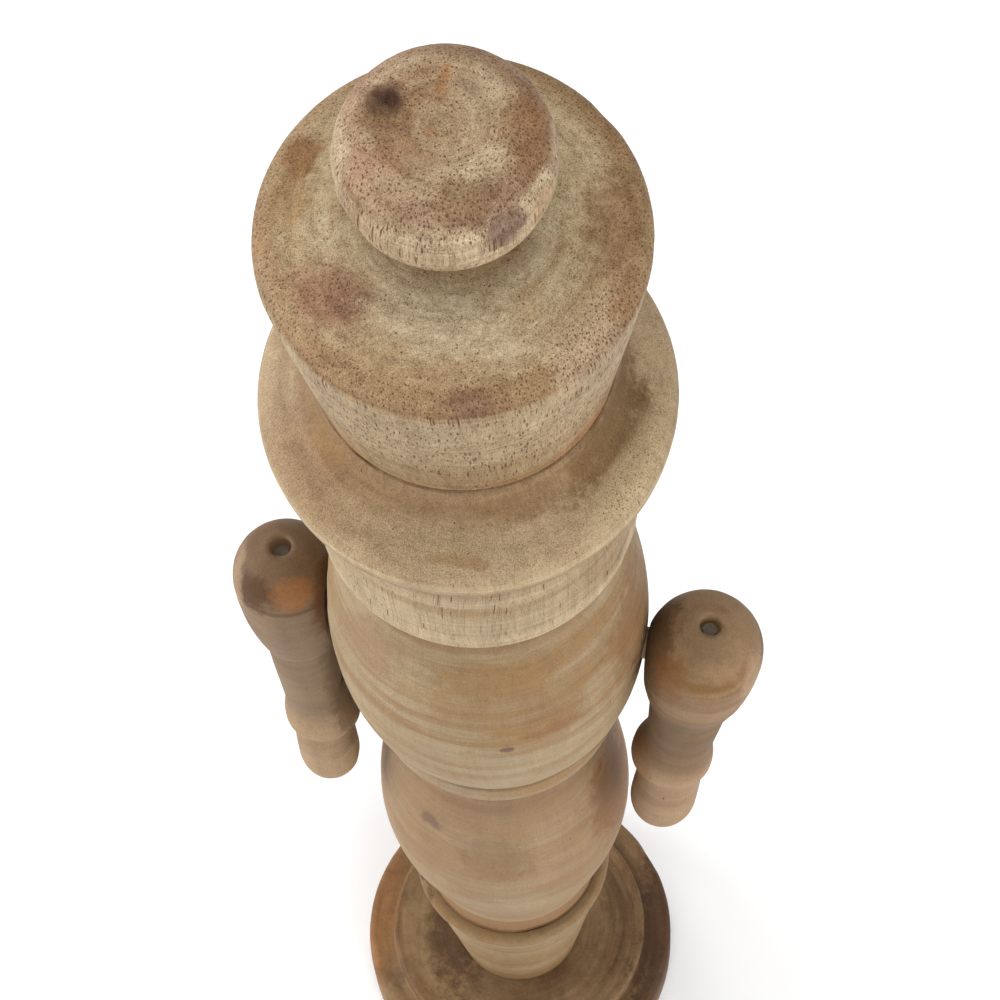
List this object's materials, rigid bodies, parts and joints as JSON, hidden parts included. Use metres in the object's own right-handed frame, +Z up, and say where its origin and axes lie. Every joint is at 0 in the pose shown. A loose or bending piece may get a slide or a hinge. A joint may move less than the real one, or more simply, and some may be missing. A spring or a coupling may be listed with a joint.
{
  "type": "turned wooden doll",
  "caption": "Slim turned wooden standing figure with a flared hat topped by a knob, a round foot, and arms that swing on pegs at the shoulders.",
  "frame": {"origin": "on the turning axis of the body, at the underside of the felt disc, in the plane the doll stands on", "axes": "+Z up along the turning axis, -Y the way the doll faces, +X towards the doll's own left hand"},
  "size_m": [0.1004, 0.0712, 0.4279],
  "materials": {
    "knob": "raw, unvarnished, matte",
    "hat_crown": "raw, unvarnished, matte",
    "hat_brim": "raw, unvarnished, matte",
    "head": "raw, unvarnished, matte",
    "torso": "raw, unvarnished, matte",
    "hips": "raw, unvarnished, matte",
    "leg": "raw, unvarnished, matte",
    "base": "raw, unvarnished, matte",
    "arms": "raw, unvarnished, matte",
    "dowels": "raw, unvarnished, matte",
    "steel": "dull grey",
    "felt": "felt"
  },
  "bodies": {
    "figure": {"knob": "knob", "hat_crown": "hat_crown", "hat_brim": "hat_brim", "head": "head", "torso": "torso", "hips": "hips", "leg": "leg", "base": "base", "felt_pad": "felt", "knob_dowel": "dowels", "hat_dowel": "dowels", "neck_dowel": "dowels", "waist_dowel": "dowels", "leg_dowel": "dowels", "base_screw": "steel"},
    "left_limb": {"left_arm": "arms", "left_shoulder_dowel": "dowels", "left_arm_pin": "steel"},
    "right_limb": {"right_arm": "arms", "right_shoulder_dowel": "dowels", "right_arm_pin": "steel"}
  },
  "joints": [
    {"name": "left_arm_swing", "type": "hinge", "parent": "figure", "child": "left_limb", "pos_m": [0.0404, 0, 0.2287], "axis": [-1, 0, 0], "range_deg": [-176, 168]},
    {"name": "right_arm_swing", "type": "hinge", "parent": "figure", "child": "right_limb", "pos_m": [-0.0384, 0, 0.2287], "axis": [-1, 0, 0], "range_deg": [-178, 166]}
  ]
}
